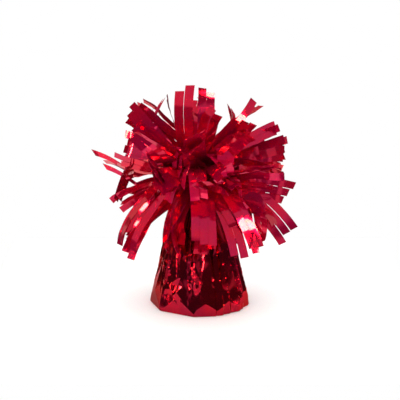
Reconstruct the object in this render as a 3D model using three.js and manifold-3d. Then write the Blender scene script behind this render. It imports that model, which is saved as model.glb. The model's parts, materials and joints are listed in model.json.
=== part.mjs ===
// A fringed foil balloon weight: a film-wrapped bell of cast ballast that stands on its base, with a burst of
// fringed film leaves bound at its neck. A ribbon eye, anchored in the ballast, rises through the neck.
// Millimetres, +Z up, origin at the middle of the base. -Y is the front, and azimuth turns from +X towards +Y.

import * as THREE from "three";
import { mergeVertices } from "three/addons/utils/BufferGeometryUtils.js";
import Module from "manifold-3d";

const wasm = await Module();
wasm.setup();

// Driving dimensions.
const BASE_R = 31; // corner radius of the wrapped base
const TIE_Z = 71; // height of the tie that closes the neck
const NECK_R = 6; // outside of the gathered neck under the tie
const GAP = 0.35; // air between pieces that lie against each other
const FILM = 0.8; // the wrap, drawn as thick as its folded layers
const CUP_WALL = 1.1;
const CUP_LIP = 0.9; // the rolled rim stands this far out
const STEM_R = 1.6;
const EYE_Z = 94; // middle of the ribbon eye
const EYE_HOLE_R = 3.6;
const EYE_RIM = 2;
const EYE_THICK = 2.6;
const BUNDLE_R = 6.5; // the knot of leaf middles above the neck
const LEAF_THICK = 0.8; // a fringed end, drawn as thick as its loose layers
const LEAF_ROOT_WIDTH = 3;
const ROOT_AIR = 0.9; // between a fringed end and the knot, so that it can bend

const SIDES = 36; // columns round the wrap
const ROUND = 32; // columns round a turned piece

// Corners of the wrapped base, where the film folds from flat to upright.
const CORNERS = [-180, -130, -70, -40, 0, 30, 70, 110, 140, 180].map(THREE.MathUtils.degToRad);

// Height and radius up the outside of the wrap.
const WRAP_PROFILE = [
  [0, BASE_R - 1],
  [2, BASE_R],
  [10, 30.4],
  [18, 28.8],
  [26, 26.4],
  [34, 23.7],
  [42, 20.4],
  [50, 16.8],
  [58, 12.6],
  [64, 8.8],
  [68, 6.5],
  [TIE_Z, NECK_R],
  [TIE_Z + 4, NECK_R + 0.6],
];
const WRAP_TOP_Z = TIE_Z + 4;

// Fringed ends, tier by tier: azimuth, rise at the root, rise at the tip, roll of the leaf and length.
// The rise is degrees above the horizon. The roll grows to this many degrees at the tip.
const TIERS = {
  crown: {
    root: [4.9, 87.6],
    tipWidth: 15,
    ends: [
      [-125, 74, 88, 26, 52],
      [-58, 70, 66, -30, 44],
      [82, 74, 70, 20, 46],
      [150, 64, 58, 30, 40],
    ],
  },
  upper: {
    root: [BUNDLE_R, 84.4],
    tipWidth: 22,
    ends: [
      [-152, 46, 34, 58, 50],
      [-98, 44, 30, -15, 44],
      [-48, 46, 36, -50, 48],
      [-4, 34, 20, 66, 46],
      [44, 38, 28, -56, 46],
      [96, 44, 32, 20, 50],
      [146, 40, 28, 62, 50],
    ],
  },
  middle: {
    root: [BUNDLE_R, 81.2],
    tipWidth: 22,
    ends: [
      [-174, 12, 2, 70, 46],
      [-124, 10, -6, -40, 46],
      [-74, 8, -14, 22, 42],
      [-26, 12, 0, -60, 48],
      [24, 10, -4, 66, 50],
      [84, 10, -6, -20, 50],
      [148, 14, 2, -66, 50],
    ],
  },
  lower: {
    root: [BUNDLE_R, 78],
    tipWidth: 22,
    ends: [
      [-158, -20, -72, -44, 58],
      [-122, -30, -76, 26, 50],
      [-84, -30, -78, -12, 46],
      [-46, -22, -70, 36, 54],
      [-14, -14, -62, 54, 56],
      [20, -8, -36, -60, 56],
      [64, -24, -66, -28, 50],
      [108, -26, -70, 22, 50],
      [144, -20, -66, -44, 54],
      [178, -6, -38, 50, 58],
    ],
  },
};

const film = new THREE.MeshStandardMaterial({ color: 0xb3001b, roughness: 0.16, metalness: 1 });
const fringe = new THREE.MeshStandardMaterial({ color: 0xc00020, roughness: 0.22, metalness: 1 });
const clearRed = new THREE.MeshStandardMaterial({ color: 0x9e1020, roughness: 0.3, metalness: 0 });
const whitePlastic = new THREE.MeshStandardMaterial({ color: 0xe4e2dc, roughness: 0.5, metalness: 0 });
const card = new THREE.MeshStandardMaterial({ color: 0xb59b76, roughness: 0.9, metalness: 0 });
const mortar = new THREE.MeshStandardMaterial({ color: 0x9b978f, roughness: 0.95, metalness: 0 });
const tieWire = new THREE.MeshStandardMaterial({ color: 0x8c0f1c, roughness: 0.45, metalness: 0.2 });

// A closed geometry as a manifold solid.
function solid(geometry) {
  const bare = geometry.index ? geometry.toNonIndexed() : geometry.clone();
  bare.deleteAttribute("normal");
  bare.deleteAttribute("uv");
  const merged = mergeVertices(bare, 1e-3);
  return new wasm.Manifold(
    new wasm.Mesh({
      numProp: 3,
      vertProperties: new Float32Array(merged.attributes.position.array),
      triVerts: new Uint32Array(merged.index.array),
    }),
  );
}

// A manifold solid back as a geometry.
function geometryOf(made) {
  const mesh = made.getMesh();
  const geometry = new THREE.BufferGeometry();
  geometry.setAttribute("position", new THREE.BufferAttribute(mesh.vertProperties, 3));
  geometry.setIndex(new THREE.BufferAttribute(mesh.triVerts, 1));
  geometry.computeVertexNormals();
  return geometry;
}

// Turns [height, radius] pairs about Z. The profile climbs on the outside and closes on the axis or on itself.
function turned(profile, segments = ROUND) {
  const points = profile.map(([z, r]) => new THREE.Vector2(r, z));
  return new THREE.LatheGeometry(points, segments).rotateX(Math.PI / 2);
}

function disc(lowZ, highZ, r, segments = ROUND) {
  return turned([[lowZ, 0], [lowZ, r], [highZ, r], [highZ, 0]], segments);
}

function named(name, geometry, material) {
  const mesh = new THREE.Mesh(geometry, material);
  mesh.name = name;
  return mesh;
}

// --- The wrap -------------------------------------------------------------------------------------------------

// How far in the flat between two corners lies, as a share of the corner's radius.
function facet(angle) {
  const next = CORNERS.findIndex((c) => c >= angle - 1e-6);
  const i = Math.max(1, next);
  const half = (CORNERS[i] - CORNERS[i - 1]) / 2;
  return Math.cos(half) / Math.cos(angle - CORNERS[i - 1] - half);
}

// The facets of the base fade up the wrap, and the pleats gather in their place.
function foldWrap(geometry, inset) {
  const at = geometry.attributes.position;
  for (let i = 0; i < at.count; i++) {
    const [x, y, z] = [at.getX(i), at.getY(i), at.getZ(i)];
    const r = Math.hypot(x, y);
    if (r < NECK_R / 4) continue;
    const angle = Math.atan2(y, x);
    const climb = THREE.MathUtils.clamp(z / TIE_Z, 0, 1);
    const flat = THREE.MathUtils.lerp(facet(angle), 1, Math.sqrt(climb));
    const column = Math.round((angle / (2 * Math.PI)) * SIDES);
    const pleat = 1.4 * Math.sin(Math.PI * climb) * (Math.abs(column) % 2 ? -1 : 1);
    const folded = (r * flat + pleat - inset) / r;
    at.setXY(i, x * folded, y * folded);
  }
  return geometry;
}

function wrap() {
  const outer = [[0, 0], ...WRAP_PROFILE, [WRAP_TOP_Z, 0]];
  const mouthZ = WRAP_TOP_Z + 1;
  const inner = [[FILM, 0], [FILM, BASE_R - 1], ...WRAP_PROFILE.slice(1), [mouthZ, NECK_R + 0.6], [mouthZ, 0]];
  const skin = foldWrap(turned(outer, SIDES), 0);
  const hollow = foldWrap(turned(inner, SIDES), FILM);
  return named("foil_wrap", geometryOf(solid(skin).subtract(solid(hollow))), film);
}

// --- Inside the wrap ------------------------------------------------------------------------------------------

// Height and radius up the outside of the cup, which stands mouth down.
const CUP_PROFILE = [
  [2.6, 24.6],
  [14, 23.6],
  [26, 21.4],
  [38, 17.6],
  [46, 13.8],
  [50, 10.6],
];
const [CUP_MOUTH_Z, CUP_MOUTH_R] = CUP_PROFILE[0];
const CUP_TOP_Z = CUP_PROFILE.at(-1)[0];
const LID_Z = FILM + GAP;
const LID_THICK = 1.1;
const ANCHOR_Z = 9;
const ANCHOR_R = 8;
const ANCHOR_THICK = 2;

// The cup's outline drawn in by a distance, without its mouth.
function cupInset(by) {
  return CUP_PROFILE.slice(1).map(([z, r]) => [z - by, r - by]);
}

function cup() {
  const rim = [
    [CUP_MOUTH_Z, CUP_MOUTH_R + CUP_LIP],
    [CUP_MOUTH_Z + 1.4, CUP_MOUTH_R + CUP_LIP],
    [CUP_MOUTH_Z + 1.8, CUP_MOUTH_R - 0.1],
  ];
  const crown = [
    [CUP_TOP_Z, STEM_R + GAP],
    [CUP_TOP_Z - CUP_WALL, STEM_R + GAP],
  ];
  const mouth = [CUP_MOUTH_Z, CUP_MOUTH_R - CUP_WALL];
  const inside = cupInset(CUP_WALL).reverse();
  return named("bell_cup", turned([...rim, ...CUP_PROFILE.slice(1), ...crown, ...inside, mouth, rim[0]]), whitePlastic);
}

// The cast fill, with the room that the stem and its anchor take in it.
function ballast() {
  const shrink = CUP_WALL + GAP;
  const lowZ = LID_Z + LID_THICK + GAP;
  const side = cupInset(shrink).slice(0, -1);
  const topZ = side.at(-1)[0];
  const fill = [[lowZ, 0], [lowZ, CUP_MOUTH_R - shrink], ...side, [topZ, 0]];
  const stemRoom = disc(lowZ - 1, topZ + 1, STEM_R + GAP, 16);
  const anchorRoom = disc(ANCHOR_Z - GAP, ANCHOR_Z + ANCHOR_THICK + GAP, ANCHOR_R + GAP, 16);
  const cast = solid(turned(fill)).subtract(solid(stemRoom)).subtract(solid(anchorRoom));
  return named("ballast", geometryOf(cast), mortar);
}

function lid() {
  return named("cup_lid", disc(LID_Z, LID_Z + LID_THICK, CUP_MOUTH_R + CUP_LIP), card);
}

// --- Ribbon eye, knot and tie ---------------------------------------------------------------------------------

function ribbonEye() {
  const rimR = EYE_HOLE_R + EYE_RIM;
  const stemTopZ = EYE_Z - EYE_HOLE_R - EYE_RIM / 2;
  const anchor = disc(ANCHOR_Z, ANCHOR_Z + ANCHOR_THICK, ANCHOR_R, 16);
  const stem = disc(ANCHOR_Z, stemTopZ, STEM_R, 16);
  const face = new THREE.Shape().absarc(0, 0, rimR, 0, 2 * Math.PI);
  face.holes.push(new THREE.Path().absarc(0, 0, EYE_HOLE_R, 0, 2 * Math.PI));
  const plate = new THREE.ExtrudeGeometry(face, { depth: EYE_THICK, bevelEnabled: false, curveSegments: 24 });
  plate.translate(0, 0, -EYE_THICK / 2).rotateX(Math.PI / 2).translate(0, 0, EYE_Z);
  return named("ribbon_eye", geometryOf(solid(anchor).add(solid(stem)).add(solid(plate))), clearRed);
}

// The middles of the leaves, gathered through the neck and crushed into a knot round the stem.
function leafKnot() {
  const boreR = STEM_R + GAP;
  const shankR = NECK_R - FILM - GAP - 0.4;
  const profile = [
    [TIE_Z - 7, boreR],
    [TIE_Z - 6, shankR - 1],
    [TIE_Z - 3, shankR],
    [TIE_Z + 4.2, shankR],
    [TIE_Z + 6, BUNDLE_R - 0.6],
    [TIE_Z + 9, BUNDLE_R],
    [TIE_Z + 14, BUNDLE_R],
    [TIE_Z + 16.2, 4.4],
    [TIE_Z + 16.8, boreR],
    [TIE_Z - 7, boreR],
  ];
  return named("leaf_knot", turned(profile, 24), film);
}

const TIE_WIRE_R = 0.75;
const TIE_TAIL_R = 1.1; // the two wire ends twisted together
const TIE_TAIL_LENGTH = 14;
const TIE_TAIL_DROP = 34; // degrees below the horizon
const TIE_TAIL_AZIMUTH = 126;

// Two turns of paper-covered wire round the neck, with their twisted tail lying down the back.
function twistTie() {
  const ringR = NECK_R + 0.5 + TIE_WIRE_R + GAP;
  const turns = [-0.6, 0.6].map((side) =>
    solid(new THREE.TorusGeometry(ringR, TIE_WIRE_R, 8, ROUND).translate(0, 0, TIE_Z - 1 + side)),
  );
  const tail = new THREE.CylinderGeometry(TIE_TAIL_R, TIE_TAIL_R, TIE_TAIL_LENGTH, 10)
    .rotateZ(-Math.PI / 2)
    .translate(TIE_TAIL_LENGTH / 2, 0, 0)
    .rotateY(THREE.MathUtils.degToRad(TIE_TAIL_DROP))
    .translate(ringR, 0, TIE_Z - 1)
    .rotateZ(THREE.MathUtils.degToRad(TIE_TAIL_AZIMUTH));
  return named("twist_tie", geometryOf(turns[0].add(turns[1]).add(solid(tail))), tieWire);
}

// --- Fringed ends ---------------------------------------------------------------------------------------------

// A leaf's free end: a thin fan that leaves the knot along a rise that turns steadily from root to tip.
function fringedEnd(name, [rootR, rootZ], tipWidth, [azimuth, rootRise, tipRise, roll, length]) {
  const rad = THREE.MathUtils.degToRad;
  const geometry = new THREE.BoxGeometry(1, 1, 1, 6, 2, 1);
  const at = geometry.attributes.position;
  const around = new THREE.Vector3(-Math.sin(rad(azimuth)), Math.cos(rad(azimuth)), 0);
  const out = new THREE.Vector3(Math.cos(rad(azimuth)), Math.sin(rad(azimuth)), 0);
  const turn = rad(tipRise - rootRise);
  for (let i = 0; i < at.count; i++) {
    const along = at.getX(i) + 0.5;
    const rise = rad(rootRise) + turn * along;
    const r = rootR + ROOT_AIR + (length * (Math.sin(rise) - Math.sin(rad(rootRise)))) / turn;
    const z = rootZ + (length * (Math.cos(rad(rootRise)) - Math.cos(rise))) / turn;
    const forward = out.clone().multiplyScalar(Math.cos(rise)).setZ(Math.sin(rise));
    const face = new THREE.Vector3().crossVectors(forward, around);
    const across = around.clone().applyAxisAngle(forward, rad(roll) * along);
    face.applyAxisAngle(forward, rad(roll) * along);
    const width = THREE.MathUtils.lerp(LEAF_ROOT_WIDTH, tipWidth, along);
    const point = out.clone().multiplyScalar(r).setZ(z);
    point.addScaledVector(across, at.getY(i) * width).addScaledVector(face, at.getZ(i) * LEAF_THICK);
    at.setXYZ(i, point.x, point.y, point.z);
  }
  return named(name, geometry, fringe);
}

function tassel() {
  const made = new THREE.Group();
  for (const [tier, { root, tipWidth, ends }] of Object.entries(TIERS)) {
    ends.forEach((end, i) => made.add(fringedEnd(`${tier}_fringe_${i + 1}`, root, tipWidth, end)));
  }
  return made;
}

const balloonWeight = new THREE.Group();
balloonWeight.add(wrap(), cup(), ballast(), lid(), ribbonEye(), leafKnot(), twistTie(), tassel());

export default balloonWeight;
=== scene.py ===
# %% [markdown]
# # A fringed foil balloon weight
# This small weight stands on a table and holds a balloon down. A bell of cast ballast is wrapped in shiny
# red film, the film is pleated up to a neck and tied, and a burst of film leaves, cut into strips, springs
# from the knot above the tie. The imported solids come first, because they fix every size and place that
# follows.

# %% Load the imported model
import json
import math

import bpy
import numpy as np
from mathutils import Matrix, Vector


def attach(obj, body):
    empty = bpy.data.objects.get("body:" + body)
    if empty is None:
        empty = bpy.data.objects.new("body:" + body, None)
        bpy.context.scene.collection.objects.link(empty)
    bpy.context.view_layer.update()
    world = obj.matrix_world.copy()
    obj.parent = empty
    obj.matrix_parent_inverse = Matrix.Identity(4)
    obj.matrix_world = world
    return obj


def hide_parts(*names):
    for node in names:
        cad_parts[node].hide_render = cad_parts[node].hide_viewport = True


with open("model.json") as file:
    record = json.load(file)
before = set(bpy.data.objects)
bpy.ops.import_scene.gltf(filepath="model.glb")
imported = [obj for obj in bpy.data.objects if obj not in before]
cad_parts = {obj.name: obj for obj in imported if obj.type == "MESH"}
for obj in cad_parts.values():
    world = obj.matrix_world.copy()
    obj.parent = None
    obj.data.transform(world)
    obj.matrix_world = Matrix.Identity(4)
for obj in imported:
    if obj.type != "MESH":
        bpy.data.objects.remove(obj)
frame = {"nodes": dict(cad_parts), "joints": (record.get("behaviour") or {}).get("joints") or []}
scene = bpy.context.scene
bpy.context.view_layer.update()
MM = 0.001

# %% [markdown]
# ## A camera at the eye level of a table-top picture
# A small product is looked down on slightly, from far enough away that its front isn't swollen by
# perspective. The camera aims at a point part of the way up the axis, so that the base sits low in the
# frame.

# %% Camera
CAMERA_ELEVATION = math.radians(15)
CAMERA_DISTANCE = 0.8
CAMERA_WIDTH = 0.24  # what the frame spans at the object
AIM = Vector((0, 0, 0.0634))

camera = bpy.data.objects.new("camera", bpy.data.cameras.new("camera"))
scene.collection.objects.link(camera)
camera.data.sensor_width = 36
camera.data.lens = camera.data.sensor_width * CAMERA_DISTANCE / CAMERA_WIDTH
back = Vector((0, -math.cos(CAMERA_ELEVATION), math.sin(CAMERA_ELEVATION)))
camera.location = AIM + back * CAMERA_DISTANCE
camera.rotation_euler = (-back).to_track_quat("-Z", "Y").to_euler()
camera.data.clip_end = 50
scene.camera = camera
print("lens", round(camera.data.lens, 1), "mm")

# %% [markdown]
# ## Node sums written as sums
# Materials, the studio and the strips of the fringe are all made of nodes, and node arithmetic is hard to
# read as a list of links. A small class wraps one output, so that `1 - mask * 2` adds its own Math nodes.


# %% Node helpers
class Wire:
    """One output of a node. Arithmetic on it adds Math nodes to its tree."""

    def __init__(self, board, socket):
        self.board, self.socket = board, socket

    def math(self, operation, *values):
        return self.board.node("ShaderNodeMath", {"operation": operation}, dict(enumerate(values)))

    def __add__(self, other):
        return self.math("ADD", self, other)

    def __sub__(self, other):
        return self.math("SUBTRACT", self, other)

    def __rsub__(self, other):
        return self.math("SUBTRACT", other, self)

    def __mul__(self, other):
        return self.math("MULTIPLY", self, other)

    def __truediv__(self, other):
        return self.math("DIVIDE", self, other)

    def __abs__(self):
        return self.math("ABSOLUTE", self)

    __radd__, __rmul__ = __add__, __mul__

    def rise(self, low, high):
        """0 below low, 1 above high, and a smooth climb between."""
        settings = {"interpolation_type": "SMOOTHSTEP"}
        return self.board.node("ShaderNodeMapRange", settings, {0: self, 1: low, 2: high})

    def also(self, name):
        """Another output of the same node."""
        return Wire(self.board, self.socket.node.outputs[name])


class Board:
    """A node tree to build on."""

    def __init__(self, tree):
        self.tree = tree

    def node(self, kind, settings, values, output=0):
        """Adds a node: its settings first, then the values or wires of its inputs. Gives one output."""
        made = self.tree.nodes.new(kind)
        for name, setting in settings.items():
            setattr(made, name, setting)
        for key, value in values.items():
            if isinstance(value, Wire):
                self.tree.links.new(value.socket, made.inputs[key])
            else:
                made.inputs[key].default_value = value
        return Wire(self, made.outputs[output])

    def vector(self, x, y, z):
        return self.node("ShaderNodeCombineXYZ", {}, {0: x, 1: y, 2: z})

    def colours(self, mask, low, high):
        """low where the mask is 0, high where it is 1."""
        return self.node("ShaderNodeMix", {"data_type": "RGBA"}, {0: mask, 6: low, 7: high}, 2)

    def speckle(self, where, scale, detail=2.0, kind="FBM"):
        """Noise from 0 to 1, in patches up to about 1 / scale across."""
        settings = {"noise_type": kind, "normalize": True}
        return self.node("ShaderNodeTexNoise", settings, {"Vector": where, "Scale": scale, "Detail": detail})


# %% [markdown]
# ## A studio made of one sky
# Mirror-like film shows hardly anything but what stands round it, so the studio is what gives the red its
# bright and dark patches. The sky is pale above and dark in a low band all round, and pale panels stand in
# the band on both sides. Two round lamps make the broad highlights, and two tall narrow lamps draw thin
# lines down the pleats. Only reflections see all that. The floor is lit evenly, and the camera sees plain
# white.

# %% Studio
PALE, DARK = 0.66, 0.09  # how bright the mirrored sky and the dark band are
LAMP_GAIN = 45
LAMP_COLOUR = (1, 0.93, 0.38, 1)  # warm, because the lacquer turns a white lamp to magenta
FLOOR_LIGHT = 1.55
LAMP_LINES = [-24, -157]  # azimuths of the tall narrow lamps, in degrees
FLOOR_HALF = 0.13
FLOOR_DROP = 0.0002  # keeps the floor just under the base

world = bpy.data.worlds.new("studio")
world.use_nodes = True
scene.world = world
scene.view_settings.view_transform = "Standard"
studio = Board(world.node_tree)
world.node_tree.nodes.clear()

aim = studio.node("ShaderNodeTexCoord", {}, {}, "Generated")
right = studio.node("ShaderNodeSeparateXYZ", {}, {0: aim}, "X")
behind, up = right.also("Y"), right.also("Z")


def glow(direction, size):
    """A round lamp in the sky: 1 inside, 0 outside, with a soft edge."""
    towards = {0: aim, 1: Vector(direction).normalized()}
    near = studio.node("ShaderNodeVectorMath", {"operation": "DOT_PRODUCT"}, towards, 1)
    return near.rise(math.cos(size * 1.1), math.cos(size))


def upright_lamp(azimuth):
    """A tall narrow lamp, which draws thin lines down the pleats."""
    turn = math.radians(azimuth)
    off = abs(behind * math.cos(turn) - right * math.sin(turn))
    ahead = right * math.cos(turn) + behind * math.sin(turn)
    return (1 - off.rise(0.012, 0.02)) * ahead.rise(0.0, 0.1) * up.rise(0.04, 0.08) * (1 - up.rise(0.36, 0.4))


beside = abs(right)
wide_panels = beside.rise(0.86, 0.9) - beside.rise(0.955, 0.965)
narrow_panels = beside.rise(0.62, 0.63) - beside.rise(0.7, 0.71)
pale_panels = wide_panels + narrow_panels
dark_room = (1 - pale_panels) * (1 - up.rise(0.28, 0.45))
lamps = glow((-0.62, -0.45, 0.6), 0.14) + glow((0.75, -0.4, 0.45), 0.1)
for azimuth in LAMP_LINES:
    lamps = lamps + upright_lamp(azimuth)
mirrored = PALE - dark_room * (PALE - DARK) + lamps * LAMP_GAIN
ray = studio.node("ShaderNodeLightPath", {}, {}, "Is Camera Ray")
polished = ray.also("Is Glossy Ray")
brightness = ray + (1 - ray) * (polished * mirrored + (1 - polished) * FLOOR_LIGHT)
light = studio.colours(lamps, (1, 1, 1, 1), LAMP_COLOUR)
sky = studio.node("ShaderNodeBackground", {}, {"Color": light, "Strength": brightness})
output = world.node_tree.nodes.new("ShaderNodeOutputWorld")
world.node_tree.links.new(sky.socket, output.inputs["Surface"])


def floor():
    """A plain white square under the base."""
    signs = [(-1, -1), (1, -1), (1, 1), (-1, 1)]
    corners = [(x * FLOOR_HALF, y * FLOOR_HALF, -FLOOR_DROP) for x, y in signs]
    mesh = bpy.data.meshes.new("floor")
    mesh.from_pydata(corners, [], [(0, 1, 2, 3)])
    made = bpy.data.objects.new("floor", mesh)
    scene.collection.objects.link(made)
    paint = bpy.data.materials.new("white_floor")
    paint.use_nodes = True
    shader = paint.node_tree.nodes["Principled BSDF"]
    shader.inputs["Base Color"].default_value = (0.93, 0.93, 0.93, 1)
    shader.inputs["Roughness"].default_value = 0.6
    mesh.materials.append(paint)


floor()
print("studio and floor made")

# %% [markdown]
# ## Red metallised film
# The film is clear plastic with a mirror of aluminium behind a red lacquer. So the shader is a red metal,
# which tints all that it mirrors, under a thin clear coat, which adds the white of the brightest lamps. The
# film is never quite flat: broad dents and fine creases bend the reflections, and handling dulls it in
# patches. The burst's film also scatters a share of the light, which lifts the dark between its strips. The
# loops' film has a lighter red and scatters more, as painted light in the shaded heart of the burst, and the
# wrap's film has a darker red, as painted shade.


# %% Film material
CREASE = 0.00001  # depth of the fine creases in metres


def film(name, red, dark_red, haze, coat, dent):
    """Red metallised film. haze is the share that scatters light, dent the depth of its broad dents."""
    material = bpy.data.materials.new(name)
    material.use_nodes = True
    board = Board(material.node_tree)
    shader = material.node_tree.nodes["Principled BSDF"]
    shader.inputs["Metallic"].default_value = 1.0 - haze
    shader.inputs["Coat Roughness"].default_value = 0.05
    shader.inputs["Coat Weight"].default_value = coat
    shader.inputs["Specular Tint"].default_value = (0.6, 0.01, 0.1, 1)
    place = board.node("ShaderNodeTexCoord", {}, {}, "Object")
    lacquer = board.speckle(place, 45.0, 3.0)
    colour = board.colours(lacquer.rise(0.35, 0.65), dark_red, red)
    board.tree.links.new(colour.socket, shader.inputs["Base Color"])
    handled = board.speckle(place, 160.0, 2.0)
    roughness = 0.1 + handled.rise(0.45, 0.75) * 0.12
    board.tree.links.new(roughness.socket, shader.inputs["Roughness"])
    dents = board.speckle(place, 110.0, 1.0)
    creases = board.speckle(place, 260.0, 3.0, "RIDGED_MULTIFRACTAL")
    height = dents * dent + creases * CREASE
    bump = board.node("ShaderNodeBump", {}, {"Height": height, "Distance": 1.0, "Strength": 1.0})
    board.tree.links.new(bump.socket, shader.inputs["Normal"])
    return material


# The wrap's film has a darker red than the burst's: painted shade.
wrap_film = film(
    "wrap_film", (0.42, 0.0, 0.012, 1), (0.28, 0.0, 0.02, 1), haze=0.0, coat=0.2, dent=0.00005
)
fringe_film = film(
    "fringe_film", (0.66, 0.001, 0.03, 1), (0.5, 0.0, 0.05, 1), haze=0.26, coat=0.45, dent=0.0001
)
# The loops' film is a lighter red that scatters more than the burst's: painted light that lifts the shade in
# the heart.
lightened_loop_film = film(
    "lightened_loop_film", (0.8, 0.006, 0.06, 1), (0.62, 0.003, 0.07, 1), haze=0.5, coat=0.6, dent=0.0001
)
print("films made")

# %% [markdown]
# ## The wrap
# A sleeve of film stands round the bell. Its foot is folded flat under the base, in straight folds between
# corners, and its top is gathered into the tie. A surface of rings is the simplest way to make it: each
# ring's radius is the nearest of many flat planes, which makes the facets, plus pleats that run up to the
# neck and small crumples.

# %% Flats of the wrap
CORNERS = np.radians([-180, -141, -97, -70, -40, -10, 32, 70, 108, 144])
BASE_R = 31 * MM
WRAP_COLUMNS = 350
PROFILE_Z = np.array([0, 2, 10, 18, 26, 34, 42, 50, 58, 64, 68, 70, 73, 76]) * MM
PROFILE_R = np.array([30.8, 31, 30.8, 29.4, 27.2, 24.6, 20.8, 17, 12.8, 9, 6.6, 6.1, 6.4, 7]) * MM
CUP_Z = np.array([2.6, 14, 26, 38, 46, 50]) * MM
CUP_R = np.array([25.5, 23.6, 21.4, 17.6, 13.8, 10.6]) * MM
CUP_AIR = 0.35 * MM  # the least distance from the cup to the sheet
random = np.random.default_rng(7)


def plane_through(azimuth, tilt, spot, r, z):
    """A flat that faces azimuth, leans back by tilt and holds a point, given as (azimuth, tilt, distance)."""
    return azimuth, tilt, r * math.cos(tilt) * math.cos(azimuth - spot) + z * math.sin(tilt)


def facet_planes():
    """A low upright flat over each straight edge of the foot, two that lean back over it, and higher ones."""
    planes = []
    ends = np.append(CORNERS, CORNERS[0] + 2 * np.pi)
    for a, b in zip(ends[:-1], ends[1:]):
        middle, half = (a + b) / 2, (b - a) / 2
        edge_r = BASE_R * math.cos(half)
        upright, apex_z = math.radians(random.uniform(-1, 3)), random.uniform(5, 11) * MM
        planes.append(plane_through(middle, upright, middle, edge_r, 0))
        apex_r = edge_r - apex_z * math.tan(upright)
        for side in (-0.55, 0.55):
            lean = math.radians(random.uniform(12, 16))
            planes.append(plane_through(middle + side * half, lean, middle, apex_r, apex_z))
    reach = 6 * MM
    for height, count in [(24, 10), (36, 11), (48, 10)]:
        z0 = height * MM
        r0, low, high = np.interp([z0, z0 - reach, z0 + reach], PROFILE_Z, PROFILE_R)
        slope = math.atan((low - high) / (2 * reach))
        for i in range(count):
            azimuth = 2 * np.pi * (i + random.uniform(-0.3, 0.3)) / count
            inset = random.uniform(0, 0.7) * MM
            tilt = slope + math.radians(random.uniform(-3, 6))
            planes.append(plane_through(azimuth, tilt, azimuth, r0 - inset, z0))
    return planes


facets = facet_planes()


def facet_radius(theta, z):
    """The profile's radius, cut back to the nearest flat in each direction."""
    r = np.interp(z, PROFILE_Z, PROFILE_R)
    for azimuth, tilt, distance in facets:
        facing = np.cos(theta - azimuth)
        reach = (distance - z * math.sin(tilt)) / (math.cos(tilt) * np.maximum(facing, 0.25))
        r = np.where((facing > 0.3) & (reach < r), np.maximum(reach, r * 0.8), r)
    return r


print("wrap flats", len(facets))

# %% [markdown]
# The pleats are a zigzag round each ring. They start evenly spread at the neck and run down to the corners
# of the foot, so the flats between the corners stay clean. Where the sheet was bunched hardest, one side
# has close, deep ones. Last come the dents of handling: film can't stretch, so it dents in crisp four-sided
# pyramids.

# %% Pleats and dents
TIGHT_PLEATS = np.radians([-74, -24])
loose_left, close, loose_right = np.arange(-178, -80, 15), np.arange(-73, -22, 8.5), np.arange(-13, 176, 14)
pleat_top = np.radians(np.concatenate([loose_left, close, loose_right]))
PLEATS = len(pleat_top)
pleat_top = pleat_top + np.radians(random.uniform(-2.5, 2.5, PLEATS))
nearest = [int(np.argmin(abs(CORNERS - t))) for t in pleat_top]
places = [k - nearest.index(c) - (nearest.count(c) - 1) / 2 for k, c in enumerate(nearest)]
pleat_foot = CORNERS[nearest] + np.radians(7) * np.array(places)
tight = (pleat_top > TIGHT_PLEATS[0] - 0.05) & (pleat_top < TIGHT_PLEATS[1] + 0.05)
fanned = TIGHT_PLEATS[0] + (pleat_top - TIGHT_PLEATS[0]) * 1.3
pleat_foot = np.sort(np.where(tight, fanned, pleat_foot))
pleat_lean = random.uniform(0.6, 0.9, PLEATS)
pleat_depth = np.where(tight, 1.2, random.uniform(0.5, 1.1, PLEATS)) * MM
pleat_start = np.where(tight, random.uniform(-12, -2, PLEATS), random.uniform(2, 20, PLEATS)) * MM


def pleat_push(theta, z):
    """How far the pleats push the film in or out, on a ring at height z."""
    spread = np.clip(z / (52 * MM), 0, 1)
    spread = spread * spread * (3 - 2 * spread)
    edges = pleat_foot * (1 - spread) + pleat_top * spread
    turn = (theta - edges[0]) % (2 * np.pi)
    starts = np.append(edges - edges[0], 2 * np.pi)
    i = np.clip(np.searchsorted(starts, turn, side="right") - 1, 0, PLEATS - 1)
    across = (turn - starts[i]) / (starts[i + 1] - starts[i])
    lean = pleat_lean[i]
    wave = np.where(across < lean, across / lean, (1 - across) / (1 - lean)) * 2 - 1
    grown = np.clip((z - pleat_start[i]) / (22 * MM), 0, 1)
    width = (starts[i + 1] - starts[i]) * np.interp(z, PROFILE_Z, PROFILE_R)
    depth = pleat_depth[i] * (1 + np.clip(z / MM - 36, 0, 20) / 7)
    return wave * np.minimum(depth, 0.42 * width) * grown


# The large dents at the front, then small ones all over. Each has an azimuth in degrees, then its height,
# half width, half height and depth in millimetres, and its slant.
DENTS = [
    (-96, 19, 5.5, 7, 1.3, 0.2),
    (-121, 17, 5, 6, -1.2, -0.5),
    (-119, 9, 4, 5, -0.7, 0.4),
    (-142, 26, 5, 12, 1.2, 0.1),
    (-90, 36, 9, 12, -1.3, 0.0),
    (-60, 14, 4, 9, -0.8, -0.3),
    (-108, 32, 5, 10, 0.9, -0.2),
]
for _ in range(70):
    spot = (random.uniform(-180, 180), random.uniform(5, 55))
    half_sizes = (random.uniform(2.5, 5.5), random.uniform(4, 9))
    among_pleats = TIGHT_PLEATS[0] < math.radians(spot[0]) < TIGHT_PLEATS[1]
    depth = random.uniform(-0.7, 0.7) * (0.2 if among_pleats else 1.0)
    DENTS.append(spot + half_sizes + (depth, random.uniform(-0.8, 0.8)))


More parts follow.
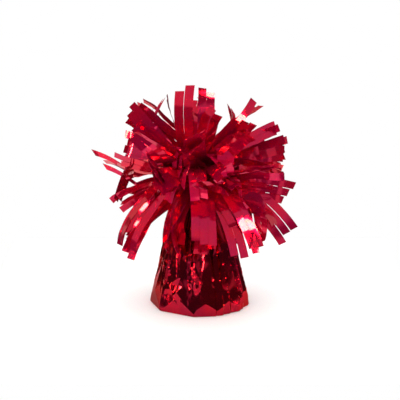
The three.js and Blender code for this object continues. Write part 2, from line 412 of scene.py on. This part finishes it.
def dent_push(theta, z):
    """How far the dents push the film in or out, on a ring at height z."""
    r = float(np.interp(z, PROFILE_Z, PROFILE_R))
    push = 0 * theta
    for azimuth, z0, half_width, half_height, depth, slant in DENTS:
        v = (z / MM - z0) / half_height
        turn = (theta - math.radians(azimuth) + np.pi) % (2 * np.pi) - np.pi
        u = turn * r / MM / half_width + slant * v
        push += depth * MM * np.maximum(0, 1 - abs(u) - abs(v))
    return push


print("pleats", PLEATS, "dents", len(DENTS))

# %% [markdown]
# The rings join into one sheet: a few flat ones under the base, then the sides, close together near the
# foot, where the folds are. The sheet always keeps a little clear of the cup inside it. Edges that bend
# sharply stay crisp, because film creases, and a thin wall gives the sheet its two faces.

# %% Rings of the wrap
FILM_THICK = 0.12 * MM
CREASE_ANGLE = math.radians(14)
UNDER_RINGS = (0.04, 0.15, 0.3, 0.45, 0.6, 0.75, 0.88, 0.96)  # shares of the foot's radius
SIDE_RINGS = np.concatenate([np.linspace(0, 6, 14), np.linspace(6.6, 76, 96)]) * MM
FOLDS = 15  # radial folds of the gathered film under the base


def wrap_mesh():
    """The sheet: a disc of folds under the base, then the sides up to the neck."""
    theta = np.linspace(-np.pi, np.pi, WRAP_COLUMNS, endpoint=False)
    foot = facet_radius(theta, 0 * theta) - 0.4 * MM
    rings = []
    for share in UNDER_RINGS:
        fold = 0.18 * MM * (1 + np.sign(np.sin(theta * FOLDS))) * min(share * 2, 1) * (1 - share)
        rings.append((foot * share, fold))
    for z in SIDE_RINGS:
        tuck = 0.2 * MM * math.exp(-z / (0.4 * MM))
        r = facet_radius(theta, z + 0 * theta) + pleat_push(theta, z) + dent_push(theta, z) - tuck
        rings.append((np.maximum(r, np.interp(z, CUP_Z, CUP_R, right=0) + CUP_AIR), z + 0 * theta))
    vertices = [(0.0, 0.0, 0.0)]
    for r, z in rings:
        vertices += list(zip(r * np.cos(theta), r * np.sin(theta), z))
    n = WRAP_COLUMNS
    faces = [(0, 1 + (i + 1) % n, 1 + i) for i in range(n)]
    for j in range(len(rings) - 1):
        low, high = 1 + j * n, 1 + (j + 1) * n
        faces += [(low + i, low + (i + 1) % n, high + (i + 1) % n, high + i) for i in range(n)]
    mesh = bpy.data.meshes.new("pleated_wrap")
    mesh.from_pydata(vertices, [], faces)
    mesh.validate()
    return mesh


def filmed(made, offset):
    """Gives the film its wall: offset -1 puts it inside the sheet, 0 half on each side."""
    wall = made.modifiers.new("film", "SOLIDIFY")
    wall.thickness, wall.offset = FILM_THICK, offset


def wrap():
    """Makes the wrap, which stands for its solid and rides on the body."""
    mesh = wrap_mesh()
    mesh.shade_smooth()
    mesh.set_sharp_from_angle(angle=CREASE_ANGLE)
    made = bpy.data.objects.new("pleated_wrap", mesh)
    scene.collection.objects.link(made)
    filmed(made, -1)
    # The wrap takes the darker film, painted shade.
    mesh.materials.append(wrap_film)
    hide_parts("foil_wrap")
    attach(made, "weight")
    area = sum(p.area for p in mesh.polygons)
    print("wrap", len(mesh.polygons), "faces", round(area * 1e6), "mm2 of film")


wrap()

# %% [markdown]
# ## One leaf's fringed end
# A leaf of film is cut into strips nearly to its middle, and bound there. Each end then springs out of the
# knot as a fan of strips that share one bend but twist, lift and kink each in its own way. Geometry Nodes
# suit this: a row of points, one flat grid on each as a strip, and one set of sums that bends every strip
# at once.

# %% Sizes that each end is given
BAND = 3  # strips that cling together
STRIP_ROWS, STRIP_COLUMNS = 19, 3  # points along a strip and across it
SIZES = {
    "Azimuth": 0.0,
    "Root radius": 0.0065,
    "Root height": 0.08,
    "Root rise": 0.2,
    "Tip rise": 0.0,
    "Roll": 0.0,
    "Length": 0.05,
    "Tip width": 0.024,
    "Strip width": 0.0058,
    "Looseness": 1.0,
}


def fringe_inputs(tree):
    """Names what an end can be given, and what comes out."""
    for name, value in SIZES.items():
        tree.interface.new_socket(name, in_out="INPUT", socket_type="NodeSocketFloat").default_value = value
    for name, value in {"Strips": 7, "Seed": 1}.items():
        tree.interface.new_socket(name, in_out="INPUT", socket_type="NodeSocketInt").default_value = value
    tree.interface.new_socket("Film", in_out="INPUT", socket_type="NodeSocketMaterial")
    tree.interface.new_socket("Fringe", in_out="OUTPUT", socket_type="NodeSocketGeometry")


print("each end is given", len(SIZES), "sizes")

# %% [markdown]
# Each strip starts as a flat grid on its own point. The points are numbered before the grids are made real,
# because every later sum needs to know which strip, and which band of strips, it is bending.


# %% A row of flat strips
def row_of_strips(board, count):
    """A flat strip on each point of a row: the strips, and the number of the strip at hand."""
    whole = {"data_type": "INT"}
    points = board.node("GeometryNodePoints", {}, {"Count": count})
    index = board.node("GeometryNodeInputIndex", {}, {})
    named = {"Geometry": points, "Name": "strip", "Value": index}
    numbered = board.node("GeometryNodeStoreNamedAttribute", whole, named)
    sheet = {"Size X": 1.0, "Size Y": 1.0, "Vertices X": STRIP_ROWS, "Vertices Y": STRIP_COLUMNS}
    blank = board.node("GeometryNodeMeshGrid", {}, sheet)
    placed = board.node("GeometryNodeInstanceOnPoints", {}, {"Points": numbered, "Instance": blank})
    strips = board.node("GeometryNodeRealizeInstances", {}, {"Geometry": placed})
    return strips, board.node("GeometryNodeInputNamedAttribute", whole, {"Name": "strip"})


def chances(board, seed, number):
    """Makes the function that draws a number for each strip, or for each band. Each salt is a new draw."""

    def chance(low, high, salt, whose=number):
        values = {2: low, 3: high, "ID": whose, "Seed": seed + salt * 101}
        return board.node("FunctionNodeRandomValue", {"data_type": "FLOAT"}, values, 1)

    return chance


# %% [markdown]
# Strips cling together in bands. Each band leaves the leaf's middle line in its own direction, faces its own
# way, and bows or kinks. Slits open between its strips towards their tips, and a few strips stray from it.
# The sums say where each point of a strip lies: how far along, how far to the side, and how far off the face
# of the fan.


# %% The shape of each strip
def strip_shape(board, given, number, band, chance):
    """The place of a point in its own fan: along as a share of the length, then side and face in metres."""
    partner = number - band * BAND - (BAND - 1) / 2
    spot = board.node("GeometryNodeInputPosition", {}, {})
    reach = board.node("ShaderNodeSeparateXYZ", {}, {0: spot}, "X")
    across = reach.also("Y")
    along = reach + 0.5
    length, loose = given.also("Length"), given.also("Looseness")
    share = along * (chance(0.82, 1.04, 1, band) + chance(-0.05, 0.05, 15))

    # Directions: each band has its own, and a stray strip adds to it.
    seat = (band * 2 + 1) * BAND / given.also("Strips") - 1
    spread = (given.also("Tip width") - given.also("Strip width")) / 2
    stray = chance(0.0, 1.0, 16).rise(0.68, 0.7)
    yaw = (seat * 0.75 + chance(-0.3, 0.3, 10, band) + stray * chance(-0.6, 0.6, 17)) * spread
    pitch = (chance(-0.8, 0.8, 11, band) + stray * chance(-0.6, 0.6, 18)) * spread * loose

    # The width narrows towards the knot, and the slits open towards the tips.
    width = given.also("Strip width") * (0.5 + 0.5 * along.rise(0.0, 0.25))
    slit = 0.12 * along * along * chance(0.0, 1.0, 12, band)
    shelf = (across + partner * (1.0 + slit)) * width
    curl = chance(-0.6, 0.6, 13, band) + stray * chance(-1.0, 1.0, 19)
    twist = loose * (chance(-0.5, 0.5, 3, band) + curl * share)

    # A soft bow all along, and for some bands a kink, past which the strip goes off at an angle.
    bow = chance(-0.14, 0.18, 4, band) * loose * share * (1 - share) * 4 * length
    kink = chance(-1.3, 1.3, 5, band) * chance(0.0, 1.0, 6, band).rise(0.4, 0.42) * loose
    past = share - chance(0.55, 0.85, 7, band)
    past = past.math("MAXIMUM", past, 0.0)
    bent = past * kink.math("SINE", kink) * length
    share = share - past * (1 - kink.math("COSINE", kink))

    # A slight hollow across each strip and a ripple along it.
    hollow = abs(across) * width * chance(-0.03, 0.03, 9)
    wavy = board.vector(share * 3.0, band * 3.7, given.also("Seed") * 1.3)
    ripple = (board.speckle(wavy, 1.6, 1.0) - 0.5) * 0.003 * share.rise(0.05, 0.3)
    crimp = hollow + ripple
    cos_twist, sin_twist = twist.math("COSINE", twist), twist.math("SINE", twist)
    side = yaw * share + shelf * cos_twist - crimp * sin_twist + bent * sin_twist
    face = pitch * share + shelf * sin_twist + crimp * cos_twist + bent * cos_twist + bow
    return share, side, face


# %% [markdown]
# The fan rolls as it goes out, and its middle line is an arc that bends from the root's rise to the tip's. A
# slope outside the wrap then holds the strips off it, with the room they need when the end is pushed down.

# %% The bend of the whole fan
KEEP_OUT = 0.003  # how far from the axis the strips stay at the height of their root, in metres
KEEP_OUT_SLOPE = 0.74  # how much further out for each metre below it


def fan_place(board, given, share, side, face, slack):
    """Turns a place in the fan into a place on the object."""
    azimuth, length = given, given.also("Length")
    roll = given.also("Roll") * share.rise(-0.3, 0.7)
    sin_roll, cos_roll = roll.math("SINE", roll), roll.math("COSINE", roll)
    level = side * cos_roll - face * sin_roll
    upright = side * sin_roll + face * cos_roll
    root, turn = given.also("Root rise"), given.also("Tip rise") - given.also("Root rise")
    rise = root + turn * share
    sin_rise, cos_rise = rise.math("SINE", rise), rise.math("COSINE", rise)
    sin_root, cos_root = root.math("SINE", root), root.math("COSINE", root)
    out = given.also("Root radius") + length * (sin_rise - sin_root) / turn - sin_rise * upright
    height = given.also("Root height") + length * (cos_root - cos_rise) / turn + cos_rise * upright
    below = given.also("Root height") - height
    out = out.math("MAXIMUM", out, KEEP_OUT + below * KEEP_OUT_SLOPE + slack)
    sin_a, cos_a = azimuth.math("SINE", azimuth), azimuth.math("COSINE", azimuth)
    return board.vector(cos_a * out - sin_a * level, sin_a * out + cos_a * level, height)


# %% [markdown]
# With the sums written, the tree itself is short: the row of strips, the place of each of their points, and
# the film they are cut from.


# %% The whole tree
def fringe_tree():
    """The Geometry Nodes tree that makes one fringed end."""
    tree = bpy.data.node_groups.new("fringed_end", "GeometryNodeTree")
    fringe_inputs(tree)
    board = Board(tree)
    given = board.node("NodeGroupInput", {}, {}, "Azimuth")
    strips, number = row_of_strips(board, given.also("Strips"))
    chance = chances(board, given.also("Seed"), number)
    band = (number + 0.5) / BAND
    band = band.math("FLOOR", band)
    share, side, face = strip_shape(board, given, number, band, chance)
    place = fan_place(board, given, share, side, face, chance(0.0, 0.002, 20, band))
    bent_strips = board.node("GeometryNodeSetPosition", {}, {"Geometry": strips, "Position": place})
    covered = {"Geometry": bent_strips, "Material": given.also("Film")}
    coloured = board.node("GeometryNodeSetMaterial", {}, covered)
    end = tree.nodes.new("NodeGroupOutput")
    tree.links.new(coloured.socket, end.inputs["Fringe"])
    return tree


fringed_end_tree = fringe_tree()
print("tree of", len(fringed_end_tree.nodes), "nodes")


# %% [markdown]
# ## From tree to mesh
# A tree's result is frozen into a plain mesh, because the finished piece has to move with its body. A thin
# wall then gives the film its two faces and its edge.


# %% Freeze a tree's result
def grown(name, tree, values):
    """Runs a Geometry Nodes tree with these input values and keeps the result as a plain mesh."""
    made = bpy.data.objects.new(name, bpy.data.meshes.new(name))
    scene.collection.objects.link(made)
    modifier = made.modifiers.new("grow", "NODES")
    modifier.node_group = tree
    for item in tree.interface.items_tree:
        if item.name in values:
            modifier[item.identifier] = values[item.name]
    shaped = made.evaluated_get(bpy.context.evaluated_depsgraph_get())
    mesh = bpy.data.meshes.new_from_object(shaped)
    made.modifiers.clear()
    made.data = mesh
    mesh.name = name
    mesh.shade_smooth()
    # The strips' own rims are marked sharp, so that a wall's rounding doesn't shade their faces.
    uses = np.zeros(len(mesh.loops), dtype=int)
    mesh.loops.foreach_get("edge_index", uses)
    rims = np.bincount(uses, minlength=len(mesh.edges)) == 1
    mesh.attributes.new("sharp_edge", "BOOLEAN", "EDGE").data.foreach_set("value", rims)
    return made


# %% [markdown]
# ## The burst
# The ends leave the knot in four tiers. The crown stands up, the upper and middle tiers spread, and the
# lower tier droops over the shoulders of the wrap. Each end is a piece of its own, because each one bends
# on its own crease. Its azimuth and root come from that crease, and its rise, roll and length are the
# solid's own.

# %% Fringed ends
# For each end: rise at the root, rise at the tip and roll in degrees, and length in millimetres.
TIERS = {
    "crown": {
        "tip_width": 10,
        "strips": 2,
        "strip_width": 5.4,
        "ends": [(74, 88, 26, 52), (70, 66, -30, 44), (74, 70, 20, 46), (64, 58, 30, 40)],
    },
    "upper": {
        "tip_width": 22,
        "strips": 8,
        "strip_width": 4.8,
        "ends": [
            (46, 34, 58, 50),
            (44, 30, -15, 44),
            (46, 36, -50, 48),
            (34, 20, 66, 46),
            (38, 28, -56, 46),
            (44, 32, 20, 50),
            (40, 28, 62, 50),
        ],
    },
    "middle": {
        "tip_width": 22,
        "strips": 8,
        "strip_width": 4.8,
        "ends": [
            (12, 2, 70, 46),
            (10, -6, -40, 46),
            (8, -14, 22, 42),
            (12, 0, -60, 48),
            (10, -4, 66, 50),
            (10, -6, -20, 50),
            (14, 2, -66, 50),
        ],
    },
    "lower": {
        "tip_width": 22,
        "strips": 8,
        "strip_width": 4.8,
        "ends": [
            (-20, -72, -44, 58),
            (-30, -76, 26, 50),
            (-30, -78, -12, 46),
            (-22, -70, 36, 54),
            (-14, -62, 54, 56),
            (-8, -36, -60, 56),
            (-24, -66, -28, 50),
            (-26, -70, 22, 50),
            (-20, -66, -44, 54),
            (-6, -38, 50, 58),
        ],
    },
}
creases = {joint["name"]: joint for joint in frame["joints"]}


def fringed_end(tier, i, root_rise, tip_rise, roll, length):
    """Grows one end on its own crease and gives it its wall; it stands for its solid and rides on its body.
    """
    plan = TIERS[tier]
    crease = creases[f"{tier}_bend_{i}"]
    x, y, z = crease["pos_m"]
    made = grown(
        f"{tier}_strips_{i}",
        fringed_end_tree,
        {
            "Azimuth": math.atan2(y, x),
            "Root radius": math.hypot(x, y),
            "Root height": z,
            "Root rise": math.radians(root_rise),
            "Tip rise": math.radians(tip_rise),
            "Roll": math.radians(roll),
            "Length": length * MM,
            "Tip width": plan["tip_width"] * MM,
            "Strip width": plan["strip_width"] * MM,
            "Strips": plan["strips"],
            "Seed": 11 * i + len(tier),
            "Film": fringe_film,
        },
    )
    filmed(made, 0)
    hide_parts(f"{tier}_fringe_{i}")
    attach(made, crease["child"])
    return made


burst = []
for tier, plan in TIERS.items():
    for i, bend in enumerate(plan["ends"], 1):
        burst.append(fringed_end(tier, i, *bend))
print(len(burst), "fringed ends,", sum(len(o.data.polygons) for o in burst), "faces")


# %% [markdown]
# ## The heart of the burst
# Where the leaves are bound, the film is crushed, and short loops of it stand up between the strips. The
# loops come from the same tree as the fringe, only short and turned right over, in three rings round the
# knot.

# %% Loops round the knot
LOOP_STRIPS = 2
LOOP_WIDTH = 5.5  # millimetres, as are the lengths and the heights and radii of the rings
LOOP_LENGTHS = (26, 40)
LOOP_RINGS = [
    # height, radius, rise at the root, turn, loops
    (77.5, 5.0, -10, 130, 6),
    (82.0, 6.0, 30, -150, 8),
    (86.5, 4.5, 75, -175, 6),
]


def heart_loops():
    """Grows the loops and joins them into one piece, which stands for the knot."""
    loops = []
    for ring, (height, radius, rise, turn, count) in enumerate(LOOP_RINGS):
        for i in range(count):
            values = {
                "Azimuth": 2 * math.pi * (i + random.uniform(-0.3, 0.3)) / count + ring,
                "Root radius": radius * MM,
                "Root height": height * MM,
                "Root rise": math.radians(rise + random.uniform(-15, 15)),
                "Tip rise": math.radians(rise + turn * random.uniform(0.8, 1.15)),
                "Roll": random.uniform(-0.5, 0.5),
                "Length": random.uniform(*LOOP_LENGTHS) * MM,
                "Tip width": 14 * MM,
                "Strip width": LOOP_WIDTH * MM,
                "Looseness": 0.4,
                "Strips": LOOP_STRIPS,
                "Seed": 60 + 10 * ring + i,
                # The lighter film is painted light on the loops, which sit in shade.
                "Film": lightened_loop_film,
            }
            loops.append(grown(f"loop_{ring}_{i}", fringed_end_tree, values))
    with bpy.context.temp_override(active_object=loops[0], selected_editable_objects=loops):
        bpy.ops.object.join()
    made = loops[0]
    made.name = made.data.name = "heart_loops"
    filmed(made, 0)
    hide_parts("leaf_knot")
    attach(made, "weight")
    print("heart loops", len(made.data.polygons), "faces")


heart_loops()


# %% [markdown]
# ## The pieces that carry over
# The cup, its lid and the ballast are hidden, and the eye and the tie show only between the strips. Their
# solids have the right shape, so they keep it and only gain a finish.


# %% Plain finishes
def finish_of(name, colour, other, scale, roughness, rough_other, bump):
    """A plain finish, mottled between two colours and two roughnesses, with a fine grain."""
    material = bpy.data.materials.new(name)
    material.use_nodes = True
    board = Board(material.node_tree)
    shader = material.node_tree.nodes["Principled BSDF"]
    place = board.node("ShaderNodeTexCoord", {}, {}, "Object")
    patch = board.speckle(place, scale, 4.0)
    shade = board.colours(patch.rise(0.35, 0.65), colour, other)
    board.tree.links.new(shade.socket, shader.inputs["Base Color"])
    rough = roughness + patch * (rough_other - roughness)
    board.tree.links.new(rough.socket, shader.inputs["Roughness"])
    grain = board.speckle(place, scale * 6, 3.0)
    bumped = board.node("ShaderNodeBump", {}, {"Height": grain, "Distance": bump, "Strength": 1.0})
    board.tree.links.new(bumped.socket, shader.inputs["Normal"])
    return material


# For each solid: the name, two colours, scale of the patches, roughness, other roughness, depth of the grain.
FINISHES = {
    "bell_cup": ("cup_plastic", (0.78, 0.77, 0.73, 1), (0.7, 0.69, 0.65, 1), 60, 0.4, 0.55, 0.00005),
    "ballast": ("cast_fill", (0.36, 0.35, 0.32, 1), (0.24, 0.23, 0.21, 1), 240, 0.9, 0.97, 0.0004),
    "cup_lid": ("card", (0.5, 0.4, 0.26, 1), (0.42, 0.33, 0.2, 1), 300, 0.85, 0.95, 0.0001),
    "ribbon_eye": ("eye_plastic", (0.45, 0.01, 0.03, 1), (0.38, 0.01, 0.03, 1), 80, 0.18, 0.3, 0.00003),
    "twist_tie": ("tie", (0.3, 0.006, 0.02, 1), (0.22, 0.005, 0.02, 1), 200, 0.4, 0.6, 0.0001),
}
for node, finish in FINISHES.items():
    material = finish_of(*finish)
    for slot in frame["nodes"][node].material_slots:
        slot.material = material
print("finishes on", len(FINISHES), "solids")
